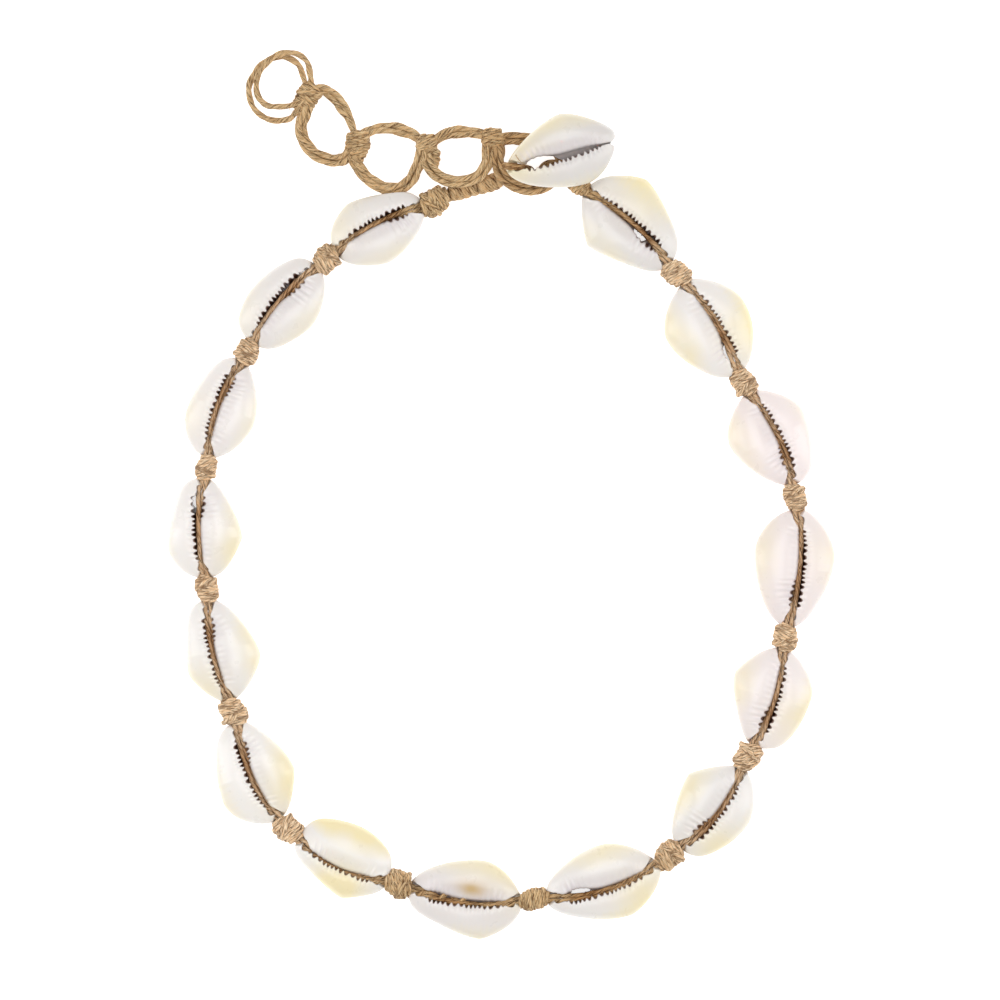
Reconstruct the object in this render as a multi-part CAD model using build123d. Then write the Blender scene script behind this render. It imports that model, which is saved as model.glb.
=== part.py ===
from build123d import *

import os
from collections import namedtuple
from math import atan2, cos, radians, sin, sqrt, tan

os.makedirs("parts", exist_ok=True)

# Cowrie shell necklace, fastened and laid flat. Millimetres. Z = 0 is the surface it lies on,
# +Y is the side of the clasp, and the origin is the middle of its outline.

# Cord
string_diameter = 1.8
string_height = 3.0
cord_clearance = 0.2
run_share = 0.45

# Cowrie shells: cups with the back cut off flat, which lie on the cut
shell_width = 15.0
shell_height = 6.6
shell_wall = 1.3
shell_roof = 1.35
tip_bulge = 0.35

# Mouth of a shell: a toothed slit that opens into a canal at each end
canal_clearance = 0.42
slit_width = 1.5
slit_bow = 0.8
teeth_share = 0.64
canal_share = 0.78
tooth_pitch = 1.05
tooth_land = 0.35
outer_tooth_depth = 0.45
inner_tooth_depth = 0.3

# Knots
knot_length = 4.3
knot_width = 5.2
knot_seat = 0.15
knot_windings = 5
winding_crown = 0.35
end_taper = 0.4

# Wrapped stem beside the first knot
stem_diameter = 4.0
stem_height = 2.1
stem_length = 10.6
stem_windings = 9

# Extender: a chain of knotted loops
extender_knot_length = 5.7
extender_knot_width = 5.2
extender_knot_height = 2.75
extender_bore = 1.2
socket_share = 0.25
loop_diameter = 2.2
end_loop_diameter = 1.3

# Toggle: a shell that lies on the loop it has been passed through
toggle_length = 22.2
toggle_height = 5.8
toggle_spot = (11.9, 68.2)
toggle_turn = 19.4
toggle_loop_diameter = 2.4
tie_diameter = 1.7

# Route of the string, counter-clockwise from the far end of the first loop. Its corners stand
# a little outside the knots, because each bend passes inside its corner.
stem_route = [
    (9.2, 64.6, 3.2),
    (5.8, 63.6, 2.5),
    (2.6, 62.9, stem_height),
]
stem_middle_share = 0.46
string_route = [
    (-13.3, 58.6),
    (-35.6, 47.7),
    (-51.5, 28.7),
    (-59.9, 5.2),
    (-59.3, -19.2),
    (-53.9, -43.9),
    (-44.1, -68.9),
    (-20.6, -79.0),
    (6.9, -82.6),
    (34.8, -74.0),
    (50.4, -53.2),
    (57.5, -29.0),
    (60.6, -0.6),
    (48.8, 22.2),
    (36.0, 44.6),
]
string_finish = (15.7, 61.6)

# Route of the tie, from the last knot under the loop, up through the slit and over the tip
tie_route = [
    (14.75, 62.4, 3.0),
    (13.7, 63.3, 2.6),
    (11.9, 64.6, 1.1),
    (9.2, 65.9, 0.95),
    (7.0, 66.4, 3.2),
    (6.2, 65.6, 9.2),
    (2.4, 64.3, 9.3),
    (-0.3, 63.4, 8.6),
    (-0.5, 63.3, 6.2),
]

# A shell row: half widths as shares of the shell width, to the outside of the necklace and to
# its inside, and where along the shell each side is widest
Shell = namedtuple("Shell", "outer outer_at inner inner_at")
shell_rows = [
    Shell(0.45, 0.62, 0.49, 0.57),
    Shell(0.42, 0.59, 0.50, 0.53),
    Shell(0.44, 0.62, 0.46, 0.54),
    Shell(0.46, 0.67, 0.50, 0.60),
    Shell(0.43, 0.61, 0.53, 0.59),
    Shell(0.55, 0.62, 0.46, 0.60),
    Shell(0.43, 0.62, 0.51, 0.55),
    Shell(0.52, 0.64, 0.51, 0.57),
    Shell(0.52, 0.63, 0.48, 0.54),
    Shell(0.49, 0.58, 0.52, 0.60),
    Shell(0.51, 0.59, 0.54, 0.63),
    Shell(0.49, 0.60, 0.56, 0.60),
    Shell(0.47, 0.60, 0.57, 0.60),
    Shell(0.49, 0.57, 0.60, 0.56),
    Shell(0.57, 0.63, 0.50, 0.63),
]
toggle_row = Shell(0.45, 0.58, 0.43, 0.57)

# Half width of a shell's two tips, as shares of its half width
front_tip = 0.40
back_tip = 0.34

# Level sections of a shell: height and size as shares of the whole
Level = namedtuple("Level", "height size")
shell_levels = [
    Level(0.0, 0.90),
    Level(0.30, 0.98),
    Level(0.56, 1.0),
    Level(0.86, 0.79),
    Level(1.0, 0.36),
]

# Each knot's length and width as shares of the named sizes, in the order of the string
Knot = namedtuple("Knot", "length width")
knot_rows = [
    Knot(1.05, 1.12),
    Knot(1.00, 1.06),
    Knot(0.88, 0.98),
    Knot(0.92, 0.86),
    Knot(1.00, 0.94),
    Knot(1.00, 1.10),
    Knot(1.06, 1.06),
    Knot(1.00, 1.14),
    Knot(1.10, 0.92),
    Knot(1.08, 1.08),
    Knot(1.06, 1.04),
    Knot(1.00, 1.00),
    Knot(1.00, 0.92),
    Knot(1.04, 0.98),
    Knot(1.02, 1.06),
    Knot(0.84, 0.80),
]

# The extender's knots, from the far end: middle and direction of the cord inside, in degrees
Tied = namedtuple("Tied", "x y turn")
extender_knots = [
    Tied(-38.9, 79.0, 52),
    Tied(-28.9, 69.6, 78),
    Tied(-14.7, 68.0, 86),
    Tied(-0.5, 67.3, 92),
]

# The sides of the loops: the knots they run between and the corner of each that they leave,
# the diameter, and the points between. The sides are bundles of unequal thickness.
upper_right, lower_right, upper_left, lower_left = (1, 1), (-1, 1), (1, -1), (-1, -1)
Side = namedtuple("Side", "name start start_corner finish finish_corner diameter points")
loop_sides = [
    Side("extender_loop_1_over", 0, upper_left, 0, lower_left, end_loop_diameter, [
        (-38.0, 83.3, 3.2),
        (-39.4, 87.1, 2.3),
        (-43.2, 88.5, 2.3),
        (-46.9, 86.0, 2.5),
        (-48.9, 81.9, 1.9),
        (-47.6, 78.2, 1.9),
        (-43.9, 77.3, 3.3),
    ]),
    Side("extender_loop_1_under", 0, upper_left, 0, lower_left, end_loop_diameter, [
        (-39.4, 83.0, 1.3),
        (-41.0, 86.3, 0.75),
        (-45.2, 87.3, 0.75),
        (-49.5, 83.8, 0.75),
        (-50.3, 79.4, 0.75),
        (-47.7, 75.5, 0.75),
        (-42.8, 74.8, 0.75),
    ]),
    Side("extender_loop_2_right", 0, upper_right, 1, upper_left, 0.95 * loop_diameter, [
        (-36.4, 80.9, 2.4),
        (-34.2, 80.1, 1.3),
        (-31.2, 76.6, 1.3),
        (-29.4, 73.0, 2.4),
    ]),
    Side("extender_loop_2_left", 0, lower_right, 1, lower_left, 1.14 * loop_diameter, [
        (-39.7, 75.2, 2.6),
        (-40.1, 72.7, 1.5),
        (-38.5, 69.4, 1.4),
        (-35.0, 66.9, 1.4),
        (-31.4, 66.9, 2.2),
    ]),
    Side("extender_loop_3_upper", 1, upper_right, 2, upper_left, 0.95 * loop_diameter, [
        (-27.6, 71.6, 2.4),
        (-25.6, 72.7, 1.3),
        (-22.1, 73.1, 1.3),
        (-18.2, 72.1, 1.3),
        (-15.8, 70.5, 2.4),
    ]),
    Side("extender_loop_3_lower", 1, lower_right, 2, lower_left, 1.09 * loop_diameter, [
        (-28.3, 66.2, 2.2),
        (-26.6, 63.4, 1.4),
        (-22.9, 61.4, 1.3),
        (-18.9, 62.0, 1.3),
        (-16.2, 64.8, 2.0),
    ]),
    Side("extender_loop_4_upper", 2, upper_right, 3, upper_left, loop_diameter, [
        (-13.2, 70.5, 2.4),
        (-10.8, 71.9, 1.5),
        (-6.4, 72.3, 1.5),
        (-2.7, 70.9, 2.6),
    ]),
    Side("extender_loop_4_lower", 2, lower_right, 3, lower_left, 0.91 * loop_diameter, [
        (-13.2, 64.6, 3.2),
        (-11.3, 62.9, 4.2),
        (-8.0, 62.4, 4.9),
        (-4.6, 63.3, 4.9),
        (-2.2, 65.4, 4.0),
    ]),
    Side("toggle_loop", 3, upper_right, 3, lower_right, toggle_loop_diameter, [
        (0.9, 70.6, 3.4),
        (5.0, 70.8, 3.9),
        (9.6, 69.6, 3.9),
        (12.8, 66.6, 3.9),
        (11.8, 62.6, 4.0),
        (8.0, 60.6, 4.3),
        (4.0, 60.9, 4.4),
        (1.4, 63.2, 4.4),
    ]),
]


def cord_path(points):
    """Straight runs through the points, joined by arcs as large as the runs allow."""
    corners = [Vector(*point) for point in points]
    radii = []
    for before, corner, after in zip(corners, corners[1:], corners[2:]):
        turn = radians((corner - before).get_angle(after - corner))
        run = min((corner - before).length, (after - corner).length)
        radii.append(run_share * run / tan(turn / 2))
    return FilletPolyline(*corners, radius=radii), min(radii)


def cord(points, diameter):
    """A round cord along the path through the points."""
    path, sharpest = cord_path(points)
    tube = sweep(Plane(path @ 0, z_dir=path % 0) * Circle(diameter / 2), path=path)
    expected = path.length * Circle(diameter / 2).area
    print("  sharpest bend %.1f, length %.1f, volume %.3f of its section times its length" % (
        sharpest, path.length, tube.volume / expected))
    return tube


class Bend:
    """A bend of the string at one corner of its route."""

    def __init__(self, before, corner, after):
        before, self.corner, after = (Vector(*point) for point in (before, corner, after))
        self.incoming = (self.corner - before).normalized()
        self.outgoing = (after - self.corner).normalized()
        self.direction = (self.incoming + self.outgoing).normalized()
        self.half_turn = radians(self.incoming.get_angle(self.outgoing)) / 2
        self.reach = run_share * min((self.corner - before).length, (after - self.corner).length)
        self.radius = self.reach / tan(self.half_turn)
        inward = (self.outgoing - self.incoming).normalized()
        self.middle = self.corner + inward * self.radius * (1 / cos(self.half_turn) - 1)

    def shift(self, distance):
        """How far the bend has left the straight run at a distance from the corner."""
        along = max(self.reach - distance, 0)
        return self.radius - sqrt(self.radius**2 - along**2)

    def knot_end(self, length, end_radius):
        """How far a knot on the bend reaches from the corner along the run."""
        across = (self.middle - self.corner).length + end_radius
        return length / 2 * cos(self.half_turn) + across * sin(self.half_turn)


def side_arc(widest, tip, side):
    """The arc from a shell's widest point to one tip, level at the widest point."""
    reach = abs(tip[0] - widest[0])
    drop = widest[1] - tip[1]
    radius = (reach**2 + drop**2) / (2 * drop)
    half = atan2(reach, radius - drop) / 2
    step = radius * sin(half) * (1 if tip[0] > widest[0] else -1)
    middle = (widest[0] + step, widest[1] - radius + radius * cos(half))
    ends = [(x, side * y) for x, y in (widest, middle, tip)]
    return ends


def shell_section(row, length, height, size, inset):
    """The outline of a shell at one height, inset all round, as four side arcs and two ends."""
    half_length = length / 2 - inset
    outline = []
    tips = []
    for share, at, side in ((row.outer, row.outer_at, -1), (row.inner, row.inner_at, 1)):
        width = share * shell_width - inset
        widest = ((at - 0.5) * length, width)
        front = (-half_length, front_tip * width)
        back = (half_length, back_tip * width)
        outline.append(side_arc(widest, front, side))
        outline.append(side_arc(widest, back, side))
        tips.append(((front[0], side * front[1]), (back[0], side * back[1])))
    for end, reach in ((0, -half_length - tip_bulge), (1, half_length + tip_bulge)):
        lower, upper = tips[0][end], tips[1][end]
        outline.append([lower, (reach, (lower[1] + upper[1]) / 2), upper])
    edges = []
    for points in outline:
        placed = [Vector(x * size, y * size, height) for x, y in points]
        edges.append(Edge.make_three_point_arc(*placed))
    return Wire(edges)


def shell_body(row, length, inset, height, depth):
    """A solid lofted through the level sections, and on downwards by the depth."""
    sections = [
        shell_section(row, length, height * level.height, level.size, inset)
        for level in shell_levels
    ]
    if depth:
        sections.insert(0, shell_section(row, length, -depth, shell_levels[0].size, inset))
    return Solid.make_loft(sections)


def slit_edge(length, canal_width, shifts, side, depth):
    """One edge of the slit from front to back, with notches between its teeth."""
    teeth_reach = teeth_share * length / 2
    canal_reach = canal_share * length / 2

    def middle(x):
        shift = shifts[0] if x < 0 else shifts[1]
        return -slit_bow + (slit_bow + shift) * (2 * x / length) ** 2

    count = int(2 * teeth_reach / tooth_pitch)
    tip = length / 2
    points = [(x, middle(-tip) + side * canal_width / 2) for x in (-length, -tip)]
    points.append((-canal_reach, middle(-canal_reach) + side * canal_width / 2))
    for index in range(count):
        x = (index - (count - 1) / 2) * tooth_pitch
        lip = middle(x) + side * slit_width / 2
        points.append((x - tooth_land, lip))
        points.append((x, lip + side * depth))
        points.append((x + tooth_land, lip))
    points.append((canal_reach, middle(canal_reach) + side * canal_width / 2))
    points += [(x, middle(tip) + side * canal_width / 2) for x in (tip, length)]
    return points


def cowrie(row, length, cord_diameter, shifts):
    """A hollow cowrie, front tip towards -X, outer lip towards -Y, lying on its cut back.

    The shifts are how far the cord has turned towards +Y at the front and at the back."""
    body = shell_body(row, length, 0, shell_height, 0)
    hollow = shell_body(row, length, shell_wall, shell_height - shell_roof, shell_wall)
    canal_width = cord_diameter + 2 * canal_clearance
    canal_floor = string_height - cord_diameter / 2 - canal_clearance
    outer_edge = slit_edge(length, canal_width, shifts, -1, outer_tooth_depth)
    inner_edge = slit_edge(length, canal_width, shifts, 1, inner_tooth_depth)
    corners = [Vector(x, y, canal_floor) for x, y in outer_edge + inner_edge[::-1]]
    slit = Solid.extrude(Face(Wire.make_polygon(corners, close=True)), Vector(0, 0, shell_height))
    return body - hollow - slit


def wound(length, diameter, bore, windings):
    """A barrel of windings side by side round a bore, along X."""
    step = length / windings
    profile = [Line((-length / 2, bore / 2), (length / 2, bore / 2))]
    height = diameter / 2 - winding_crown

    def valley(index):
        share = abs(2 * index / windings - 1)
        return height * (1 - end_taper * share**3)

    profile.append(Line((length / 2, bore / 2), (length / 2, valley(windings))))
    for index in range(windings):
        start = (-length / 2 + index * step, valley(index))
        finish = (start[0] + step, valley(index + 1))
        crown = (start[0] + step / 2, (start[1] + finish[1]) / 2 + winding_crown)
        profile.append(ThreePointArc(start, crown, finish))
    profile.append(Line((-length / 2, valley(0)), (-length / 2, bore / 2)))
    return revolve(make_face(Curve() + profile), axis=Axis.X)


def end_radius(row):
    """The radius of a knot at its two ends."""
    return (knot_width * row.width / 2 - winding_crown) * (1 - end_taper)


def placed(shape, point, direction):
    """The shape with its X axis laid along the direction, level side up."""
    direction = Vector(*direction).normalized()
    across = Vector(0, 0, 1).cross(direction).normalized()
    return Plane(origin=point, x_dir=direction, z_dir=direction.cross(across)) * shape


def keep(name, shape):
    """Write one piece."""
    solids = shape.solids()
    print("%s: %s mm3" % (name, [round(solid.volume, 1) for solid in solids]))
    export_step(solids[0], "parts/%s.step" % name)


# The string and what it carries
level_route = [(x, y, string_height) for x, y in string_route]
whole_route = stem_route + level_route + [(*string_finish, string_height)]
keep("string_cord", cord(whole_route, string_diameter))

bore = string_diameter + 2 * cord_clearance
stem_from = Vector(*whole_route[len(stem_route) - 1])
stem_run = Vector(*level_route[0]) - stem_from
stem = wound(stem_length, stem_diameter, bore, stem_windings)
keep("wrapped_stem", placed(stem, stem_from + stem_run * stem_middle_share, stem_run))

first = len(stem_route)
bends = [Bend(*whole_route[index - 1:index + 2]) for index in range(first, len(whole_route) - 1)]
finish_run = (Vector(*whole_route[-1]) - Vector(*whole_route[-2])).normalized()
spots = [(bend.middle, bend.direction) for bend in bends]
spots.append((Vector(*whole_route[-1]), finish_run))

for number, ((point, direction), row) in enumerate(zip(spots, knot_rows), start=1):
    knot = wound(knot_length * row.length, knot_width * row.width, bore, knot_windings)
    keep("knot_%02d" % number, placed(knot, point, direction))

for number, (row, near, far) in enumerate(zip(shell_rows, knot_rows, knot_rows[1:]), start=1):
    front = bends[number - 1]
    near_end = front.knot_end(knot_length * near.length, end_radius(near)) + knot_seat
    start = front.corner + front.outgoing * near_end
    if number < len(bends):
        back = bends[number]
        far_end = back.knot_end(knot_length * far.length, end_radius(far)) + knot_seat
        finish = back.corner - back.incoming * far_end
        shifts = (front.shift(near_end), back.shift(far_end))
    else:
        finish = spots[-1][0] - finish_run * (knot_length * far.length / 2 + knot_seat)
        shifts = (front.shift(near_end), 0)
    middle = (start + finish) / 2
    shell = cowrie(row, (finish - start).length - 2 * tip_bulge, string_diameter, shifts)
    keep("shell_%02d" % number, placed(shell, Vector(middle.X, middle.Y, 0), front.outgoing))
    print("  length %.1f" % (finish - start).length)

# The extender and its loops
knot_frames = []
for number, row in enumerate(extender_knots, start=1):
    spot = Vector(row.x, row.y, extender_knot_height)
    direction = Vector(cos(radians(row.turn)), sin(radians(row.turn)), 0)
    knot = wound(extender_knot_length, extender_knot_width, extender_bore, knot_windings)
    keep("extender_knot_%d" % number, placed(knot, spot, direction))
    along = direction * extender_knot_length * socket_share
    across = Vector(direction.Y, -direction.X, 0) * extender_knot_width * socket_share
    room = Cylinder(extender_knot_width / 2 + knot_seat, extender_knot_length + 2 * knot_seat)
    knot_frames.append((spot, along, across, placed(Rot(0, 90, 0) * room, spot, direction)))

for side in loop_sides:
    ends = []
    for knot, corner in ((side.start, side.start_corner), (side.finish, side.finish_corner)):
        spot, along, across, room = knot_frames[knot]
        ends.append(tuple(spot + along * corner[0] + across * corner[1]))
    strand = cord([ends[0]] + side.points + [ends[1]], side.diameter)
    strand -= knot_frames[side.start][-1]
    if side.finish != side.start:
        strand -= knot_frames[side.finish][-1]
    keep(side.name, strand)

# The toggle and its tie
toggle = cowrie(toggle_row, toggle_length - 2 * tip_bulge, tie_diameter, (0, 0))
heading = (cos(radians(toggle_turn)), sin(radians(toggle_turn)), 0)
keep("toggle_shell", placed(toggle, Vector(*toggle_spot, toggle_height), heading))
keep("toggle_tie", cord(tie_route, tie_diameter))
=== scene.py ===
from collections import namedtuple
from math import cos, pi, radians, sin

import bmesh
import bpy
import numpy as np
from bpy.props import FloatProperty, FloatVectorProperty, IntProperty, PointerProperty
from mathutils import Matrix, Vector
from mathutils.kdtree import KDTree


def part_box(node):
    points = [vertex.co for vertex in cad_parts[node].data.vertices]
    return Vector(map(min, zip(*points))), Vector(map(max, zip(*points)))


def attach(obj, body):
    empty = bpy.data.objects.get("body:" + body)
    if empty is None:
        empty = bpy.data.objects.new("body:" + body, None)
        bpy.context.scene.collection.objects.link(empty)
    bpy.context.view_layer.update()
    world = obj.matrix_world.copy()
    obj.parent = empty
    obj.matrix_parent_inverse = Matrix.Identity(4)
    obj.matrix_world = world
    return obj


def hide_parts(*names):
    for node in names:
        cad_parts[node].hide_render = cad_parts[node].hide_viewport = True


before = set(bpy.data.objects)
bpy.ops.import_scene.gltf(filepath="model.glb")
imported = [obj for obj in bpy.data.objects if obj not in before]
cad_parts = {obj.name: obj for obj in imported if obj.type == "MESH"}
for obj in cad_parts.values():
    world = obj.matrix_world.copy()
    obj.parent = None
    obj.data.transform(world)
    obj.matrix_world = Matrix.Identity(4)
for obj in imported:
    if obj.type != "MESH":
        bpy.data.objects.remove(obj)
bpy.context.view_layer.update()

bl_info = {
    "name": "Cowrie Shell Necklace",
    "version": (1, 0, 0),
    "blender": (4, 5, 0),
    "location": "3D View > Sidebar > Necklace",
    "description": "Dresses the necklace's shells, cords and knots, and sets the stage for it",
    "category": "Object",
}

# Lengths in the tables and formulas are millimetres; MM turns them into Blender's metres
MM = 0.001
BODY = "root"
UP = np.array((0.0, 0.0, 1.0))

# Shell rows. Of the outer and the inner side: the half width as a share of the shell width, where it
# is widest, how sharp its shoulder is and how wide its two tips are. Of the slit: how much wider it
# gapes at the front and in the middle, where a lip draws back to a window and how far (below 0 it is
# the outer lip), and at which lip the string lies (-1 outer, 1 inner). Of the colours: how strong the
# cream is and where it lies (shares of half the length and width), the shares of blush, stain and
# painted lavender shade, how light the shell is and how dark the painted shade of its inside is.
# Then how far the outer lip reaches on below the string, how deep the teeth at the front of the inner
# lip are, the half width of the back canal, where the slit starts to close towards it, how deep the
# cleft between the two back tips is, and how much further the slit bows out
Shell = namedtuple(
    "Shell", "outer outer_at outer_corner outer_front outer_back "
    "inner inner_at inner_corner inner_front inner_back gape_front gape_middle window_at window hug "
    "cream cream_x cream_y blush stain lavender tone dark ledge bite canal_back closes cleft bow",
    defaults=(0.9, 1.3, 1.0, 1.15, 0.66, 0.0, 0.0))
SHELLS = [
    Shell(0.46, 0.66, 0.4, 0.45, 0.42, 0.49, 0.56, 0.5, 0.25, 0.45,
          0.28, 0.08, 0.0, 0.0, -0.2, 0.50, 0.85, -0.40, 0.1, 0.0, 0.6, 0.93),
    Shell(0.44, 0.58, 0.0, 0.47, 0.54, 0.51, 0.50, 0.2, 0.41, 0.45,
          0.42, 0.16, -0.2, 1.0, 1.2, 0.30, 0.70, -0.70, 0.1, 0.0, 0.7, 0.95),
    Shell(0.45, 0.64, 0.1, 0.44, 0.37, 0.48, 0.55, 0.2, 0.29, 0.34,
          0.26, 0.10, 0.0, 0.0, 0.0, 0.35, 0.30, -0.95, 0.2, 0.0, 0.6, 1.0),
    Shell(0.47, 0.68, 0.2, 0.45, 0.44, 0.52, 0.60, 0.8, 0.32, 0.44,
          0.30, 0.10, -0.56, -1.5, 0.1, 0.50, 0.60, 0.80, 0.1, 0.0, 0.6, 1.02),
    Shell(0.44, 0.65, 0.5, 0.50, 0.26, 0.54, 0.61, 0.5, 0.28, 0.30,
          0.22, 0.05, 0.0, 0.0, -0.3, 0.80, 0.75, -0.60, 0.0, 0.0, 0.5, 1.0),
    Shell(0.54, 0.66, 0.0, 0.43, 0.35, 0.52, 0.60, 0.8, 0.26, 0.38,
          0.34, 0.16, 0.0, 0.0, 0.3, 0.90, 0.55, 0.70, 0.0, 0.0, 0.3, 1.02),
    Shell(0.41, 0.64, 1.0, 0.27, 0.34, 0.56, 0.52, 0.0, 0.64, 0.60,
          -0.26, -0.34, 0.0, 0.0, -0.8, 2.40, 0.10, -0.80, 0.0, 0.0, 0.1, 0.99, bite=0.0),
    Shell(0.54, 0.67, 0.7, 0.40, 0.37, 0.52, 0.61, 0.0, 0.31, 0.25,
          0.38, 0.06, 0.0, 0.0, -1.3, 0.80, 0.90, 0.60, 0.2, 1.1, 0.8, 0.92, bite=0.0),
    Shell(0.50, 0.64, 0.5, 0.26, 0.29, 0.52, 0.57, 0.0, 0.43, 0.22,
          0.42, 0.10, -0.4, 1.8, -1.5, 1.20, 0.60, -0.65, 0.0, 0.0, 0.7, 0.96, bite=0.0),
    Shell(0.48, 0.58, 0.0, 0.44, 0.22, 0.56, 0.63, 1.0, 0.44, 0.22,
          0.34, 0.04, 0.0, 0.0, 0.0, 1.00, -0.60, -0.80, 0.0, 0.0, 0.4, 0.95),
    Shell(0.54, 0.60, 0.0, 0.50, 0.24, 0.55, 0.64, 0.8, 0.25, 0.31,
          0.30, 0.05, 0.0, 0.0, 0.0, 0.80, -0.30, -0.90, 0.7, 0.0, 0.4, 1.0),
    Shell(0.51, 0.61, 0.0, 0.26, 0.24, 0.57, 0.62, 0.0, 0.32, 0.40,
          0.26, 0.08, 0.0, 0.0, 0.2, 0.35, 0.30, -0.90, 0.9, 0.0, 0.4, 1.0),
    Shell(0.51, 0.61, 0.0, 0.41, 0.22, 0.56, 0.61, 0.0, 0.24, 0.27,
          0.28, 0.08, 0.0, 0.0, 0.0, 0.15, 0.50, 0.80, 1.0, 0.0, 0.5, 1.03),
    Shell(0.53, 0.56, 0.0, 0.32, 0.24, 0.62, 0.61, 0.1, 0.38, 0.25,
          0.36, 0.12, -0.6, 1.9, -0.7, 1.05, -0.40, -0.70, 0.1, 0.0, 0.4, 0.99, bite=0.3),
    Shell(0.62, 0.64, 0.7, 0.35, 0.43, 0.54, 0.67, 1.0, 0.40, 0.24,
          0.38, 0.22, -0.24, 1.5, -0.6, 0.80, 0.10, -0.80, 0.0, 0.0, 0.7, 0.90),
]
TOGGLE = Shell(0.52, 0.64, 0.0, 0.28, 0.36, 0.46, 0.60, 0.5, 0.17, 0.16,
               0.20, 0.10, -0.36, 2.4, 0.0, 1.30, -0.75, 0.20, 0.0, 0.0, 0.8, 0.84,
               0.34, 0.0, 0.0, 0.12, 0.2, 1.0, 0.4)
TOGGLE_SPOT = (11.9, 68.2)
TOGGLE_TURN = 19.4
TOGGLE_HEIGHT = 5.8
# How far the toggle's slit shifts to its inner side, at its two ends
TOGGLE_SHIFTS = (0.6, -2.0)

# How much longer the visible shells are than their solids
LONGER = 1.03
# Share of a knot's offset by which a shell's slit shifts towards it
SHIFT = 0.6

# Share of the height at which a shell is widest
WIDEST = 0.56
# Sections of the outside and of the hollow: share of the height and size of the outline
SIDE_LEVELS = (
    (0.0, 0.895), (0.012, 0.902), (0.08, 0.925), (0.18, 0.952), (0.3, 0.978), (0.42, 0.993),
    (0.5, 0.999), (WIDEST, 1.0),
)
HOLLOW_LEVELS = ((0.4, 0.985), (0.25, 0.965), (0.1, 0.93), (0.012, 0.905), (0.0, 0.90))
# Sections of the face from the rim to the lips, and of the hollow's roof from the lips to the wall
FACE_SHARES = (
    0.03, 0.08, 0.15, 0.23, 0.32, 0.41, 0.5, 0.58, 0.66, 0.73, 0.79, 0.84, 0.885, 0.925, 0.96, 1.0,
)
ROOF_SHARES = (0.15, 0.35, 0.6, 0.85, 1.0)
# How far below a canal's floor the outside and the hollow's roof end
SIDE_DROP = 0.12
ROOF_DROP = 0.5

# The two lips: how far each stands off the slit's middle (share of the slit), how far out and how
# deep it rolls, how deep and wide the dip beside it is, and how strong the painted shade there is
Lip = namedtuple("Lip", "gape out deep dip_deep dip_wide shade")
OUTER_LIP = Lip(0.45, 0.2, 0.7, 0.3, 0.9, 0.35)
INNER_LIP = Lip(0.25, 1.1, 1.2, 0.85, 2.1, 1.0)
# Sections of the lips into the slit: angle of the outer lip's roll, and how far out and how far down
# the inner lip reaches. In the last two, both lips reach on below the string
Roll = namedtuple("Roll", "angle out down")
ROLLS = [
    Roll(62, 0.45, 0.08), Roll(38, 0.78, 0.28), Roll(15, 1.0, 0.68), Roll(-8, 1.12, 1.25),
    Roll(-32, 1.4, 1.75), Roll(-58, 2.0, 2.0), Roll(-82, 1.9, 2.4),
]
# How far the inner lip reaches on below the string, how high it lies there, and how much lower the
# ledge of the outer lip lies
SHELF = 0.9
BED = 3.1
LEDGE_DROP = 0.8

# How far the slit ends before the tips, and how wide a cleft is, in millimetres
SLIT_MARGIN = 1.35
CLEFT_WIDTH = 0.55
# Along a shell, as shares of half its length: the middle and spread of what comes and goes
FRONT_GAPE = (-0.5, 0.24)
MIDDLE_GAPE = (0.05, 0.4)
FRONT_RIBS = (-0.5, 0.3)
BACK_RIBS = (0.55, 0.25)
BITE = (-0.42, 0.24)
# The same shares, from where to where the slit turns into a canal, the canal lies open at the tip,
# and the teeth and the ribs end. The back canal's start is in the shell's row
CANAL_FROM, CANAL_TO = 0.66, 0.86
OPENS = (0.86, 0.93)
TEETH_END = (0.62, 0.73)
RIBS_END = (0.62, 0.8)
# Half width of a notch, as a share of the tooth pitch
NOTCH = 0.42
# Middle of a stain on a shell and how far it spreads, in millimetres
STAIN = (0.9, 2.0)
STAIN_SPREAD = (3.4, 1.5)

# The stem's wrapping: its ends in plan, width, how much it tapers, turns, slant, the radius of the
# flat cord wrapped round it, the share of that cord's height that is left, its groove and its
# painted shade
Stem = namedtuple("Stem", "start finish width taper turns slant radius flat groove shade")
STEM = Stem((-11.5, 59.5), (1.3, 63.0), 4.0, 0.07, 8.4, 8, 0.72, 0.6, 0.1, 0.2)

# Steps along a cord and along a winding, in millimetres
CORD_STEP = 0.35
WOUND_STEP = 0.3
# Share of its height that a knot's winding keeps, and how close cords lie, as a share of touching
WOUND_FLAT = 0.75
BESIDE = 0.94
# The painted shade in the crease between two cords: the gap at which it starts to darken, how far
# off another cord is looked for, and how much of a cord on either side of a spot doesn't count as
# another
CREASE = 0.17
CREASE_REACH = 1.15
CREASE_OWN = 2.2
# How far from a line across the necklace the cord starts to be more ochre, and where it is so fully
OCHRE_MIDDLE = -12
OCHRE_FROM, OCHRE_TO = 56, 68

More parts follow.
